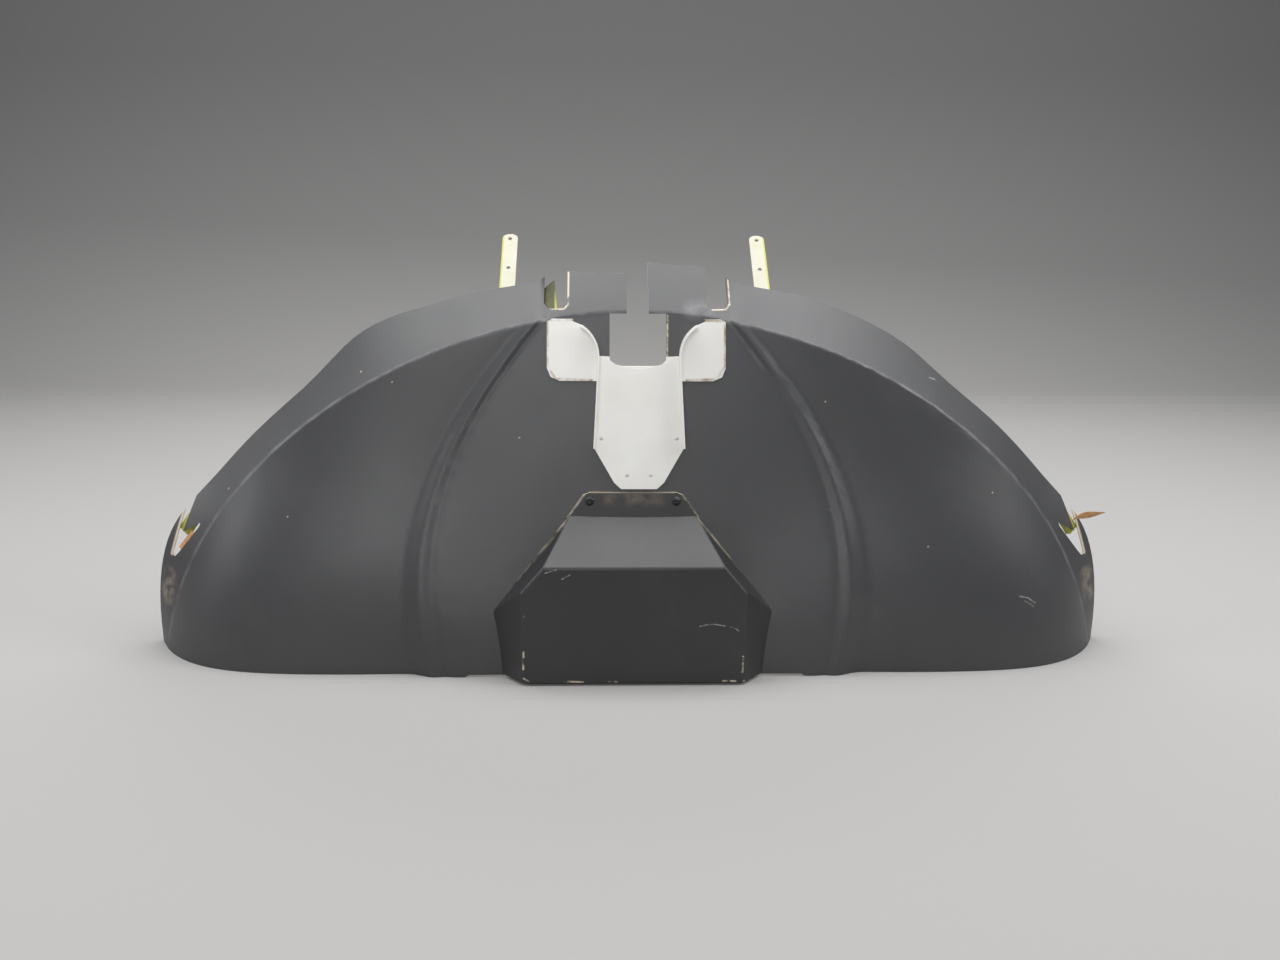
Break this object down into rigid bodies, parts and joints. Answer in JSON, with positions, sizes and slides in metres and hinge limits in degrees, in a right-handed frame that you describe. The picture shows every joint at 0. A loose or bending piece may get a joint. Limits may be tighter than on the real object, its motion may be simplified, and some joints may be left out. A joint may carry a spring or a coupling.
{
  "type": "aircraft glare shield",
  "caption": "Arched moulded glare shield with a raised middle, a bolted instrument hood, a folded sheet channel below a notched top edge, and legs reaching forward.",
  "frame": {"origin": "centre of the overall box, on the plane of the aft edge that it stands on", "axes": "+X across the cabin, +Y from the crown side into the hollow, +Z from the aft edge up to the forward edge"},
  "size_m": [1.1332, 0.2496, 0.4785],
  "materials": {
    "moulded_black": "matte, fine texture",
    "bare_aluminium": "satin sheet",
    "primed_aluminium": "yellow-green primer, matte",
    "screw_steel": "plated",
    "washer_steel": "polished",
    "rivet_aluminium": "dull",
    "tan_strip": "matte"
  },
  "bodies": {
    "root": {"shell": "moulded_black", "hood": "moulded_black", "hood_screws": "screw_steel", "hood_washers": "washer_steel", "hood_nutplates": "screw_steel", "post_channel": "bare_aluminium", "post_ear_plate": "bare_aluminium", "leg_left": "primed_aluminium", "leg_right": "primed_aluminium", "leg_base_left": "primed_aluminium", "leg_base_right": "primed_aluminium", "leg_rivets_left": "rivet_aluminium", "leg_rivets_right": "rivet_aluminium", "end_bracket_left": "primed_aluminium", "end_bracket_right": "primed_aluminium", "end_strip_left": "tan_strip", "end_strip_right": "tan_strip"}
  },
  "joints": []
}
